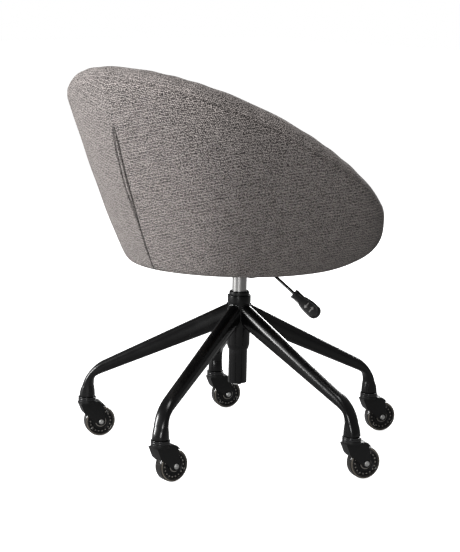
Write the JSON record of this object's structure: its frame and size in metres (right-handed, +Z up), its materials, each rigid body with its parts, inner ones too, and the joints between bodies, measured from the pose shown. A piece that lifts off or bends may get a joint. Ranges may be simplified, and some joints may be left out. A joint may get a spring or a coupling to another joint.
{
  "type": "swivel tub chair",
  "caption": "Upholstered swivel tub chair with a gas-lift column, a release lever and a bent-tube arm base on castors.",
  "frame": {"origin": "on the floor, on the axis of the column, with all castors down", "axes": "+Z up, -Y the way the sitter faces, -X the sitter's right, where the release lever is"},
  "size_m": [0.6301, 0.6725, 0.7394],
  "materials": {
    "powder_coat": "semi-gloss black powder coat",
    "black_plastic": "moulded, fine satin grain",
    "brushed_steel": "ground and brushed round the tube",
    "zinc_steel": "bright zinc plate",
    "black_steel": "gloss black plated collars",
    "smoked_tyre": "smoked polyurethane, glossy",
    "bump_rubber": "moulded rubber",
    "shell_moulding": "injection moulded shell",
    "plywood": "birch plywood",
    "upholstery": "grey-taupe boucle weave over foam"
  },
  "bodies": {
    "base": {"hub": "powder_coat", "outer_tube": "powder_coat", "guide_bush": "black_plastic", "thrust_washer_lower": "zinc_steel", "thrust_cage": "zinc_steel", "arm_1": "powder_coat", "arm_2": "powder_coat", "arm_3": "powder_coat", "arm_4": "powder_coat", "arm_5": "powder_coat", "castor_stem_1": "black_steel", "castor_stem_2": "black_steel", "castor_stem_3": "black_steel", "castor_stem_4": "black_steel", "castor_stem_5": "black_steel"},
    "swivel_core": {"thrust_washer_upper": "zinc_steel", "piston_rod": "zinc_steel", "rod_clip": "zinc_steel", "bump_stop": "bump_rubber"},
    "seat": {"pressure_tube": "brushed_steel", "taper_socket": "powder_coat", "seat_plate": "powder_coat", "plate_bolt_1": "zinc_steel", "plate_bolt_2": "zinc_steel", "plate_bolt_3": "zinc_steel", "plate_bolt_4": "zinc_steel", "mounting_board": "plywood", "outer_cover": "upholstery", "tub_shell": "shell_moulding", "inner_pad": "upholstery", "rim_roll": "upholstery", "seat_cushion": "upholstery"},
    "lever": {"lever_rod": "powder_coat", "lever_handle": "black_plastic"},
    "valve": {"valve_pin": "zinc_steel"},
    "castor_1": {"castor_fork_1": "black_plastic", "castor_axle_1": "zinc_steel"},
    "wheel_1": {"wheel_core_1": "black_plastic", "wheel_tyre_1": "smoked_tyre"},
    "castor_2": {"castor_fork_2": "black_plastic", "castor_axle_2": "zinc_steel"},
    "wheel_2": {"wheel_core_2": "black_plastic", "wheel_tyre_2": "smoked_tyre"},
    "castor_3": {"castor_fork_3": "black_plastic", "castor_axle_3": "zinc_steel"},
    "wheel_3": {"wheel_core_3": "black_plastic", "wheel_tyre_3": "smoked_tyre"},
    "castor_4": {"castor_fork_4": "black_plastic", "castor_axle_4": "zinc_steel"},
    "wheel_4": {"wheel_core_4": "black_plastic", "wheel_tyre_4": "smoked_tyre"},
    "castor_5": {"castor_fork_5": "black_plastic", "castor_axle_5": "zinc_steel"},
    "wheel_5": {"wheel_core_5": "black_plastic", "wheel_tyre_5": "smoked_tyre"}
  },
  "joints": [
    {"name": "seat_swivel", "type": "hinge", "parent": "base", "child": "swivel_core", "pos_m": [0, 0, 0.14], "axis": [0, 0, 1], "continuous": true},
    {"name": "seat_lift", "type": "slide", "parent": "swivel_core", "child": "seat", "axis": [0, 0, 1], "range_m": [0, 0.09]},
    {"name": "lever_lift", "type": "hinge", "parent": "seat", "child": "lever", "pos_m": [-0.056, 0, 0.3623], "axis": [0, 1, 0], "range_deg": [0, 4], "stiffness_Nm_per_rad": 8, "springref_deg": -11.46},
    {"name": "valve_press", "type": "slide", "parent": "seat", "child": "valve", "axis": [0, 0, -1], "range_m": [0, 0.0042]},
    {"name": "castor_swivel_1", "type": "hinge", "parent": "base", "child": "castor_1", "pos_m": [-0.2975, 0, 0.07], "axis": [0, 0, 1], "continuous": true},
    {"name": "wheel_spin_1", "type": "hinge", "parent": "castor_1", "child": "wheel_1", "pos_m": [-0.30686, -0.02318, 0.03], "axis": [0.9272, -0.3746, 0], "continuous": true},
    {"name": "castor_swivel_2", "type": "hinge", "parent": "base", "child": "castor_2", "pos_m": [-0.09193, -0.28294, 0.07], "axis": [0, 0, 1], "continuous": true},
    {"name": "wheel_spin_2", "type": "hinge", "parent": "castor_2", "child": "wheel_2", "pos_m": [-0.10289, -0.30541, 0.03], "axis": [0.8988, -0.4384, 0], "continuous": true},
    {"name": "castor_swivel_3", "type": "hinge", "parent": "base", "child": "castor_3", "pos_m": [0.24068, -0.17487, 0.07], "axis": [0, 0, 1], "continuous": true},
    {"name": "wheel_spin_3", "type": "hinge", "parent": "castor_3", "child": "wheel_3", "pos_m": [0.23091, -0.19788, 0.03], "axis": [0.9205, -0.3907, 0], "continuous": true},
    {"name": "castor_swivel_4", "type": "hinge", "parent": "base", "child": "castor_4", "pos_m": [0.24068, 0.17487, 0.07], "axis": [0, 0, 1], "continuous": true},
    {"name": "wheel_spin_4", "type": "hinge", "parent": "castor_4", "child": "wheel_4", "pos_m": [0.23012, 0.15221, 0.03], "axis": [0.9063, -0.4226, 0], "continuous": true},
    {"name": "castor_swivel_5", "type": "hinge", "parent": "base", "child": "castor_5", "pos_m": [-0.09193, 0.28294, 0.07], "axis": [0, 0, 1], "continuous": true},
    {"name": "wheel_spin_5", "type": "hinge", "parent": "castor_5", "child": "wheel_5", "pos_m": [-0.09498, 0.25813, 0.03], "axis": [0.9925, -0.1219, 0], "continuous": true}
  ],
  "couplings": [
    {"joint": "valve_press", "follows": "lever_lift", "m_per_rad": 0.056}
  ]
}
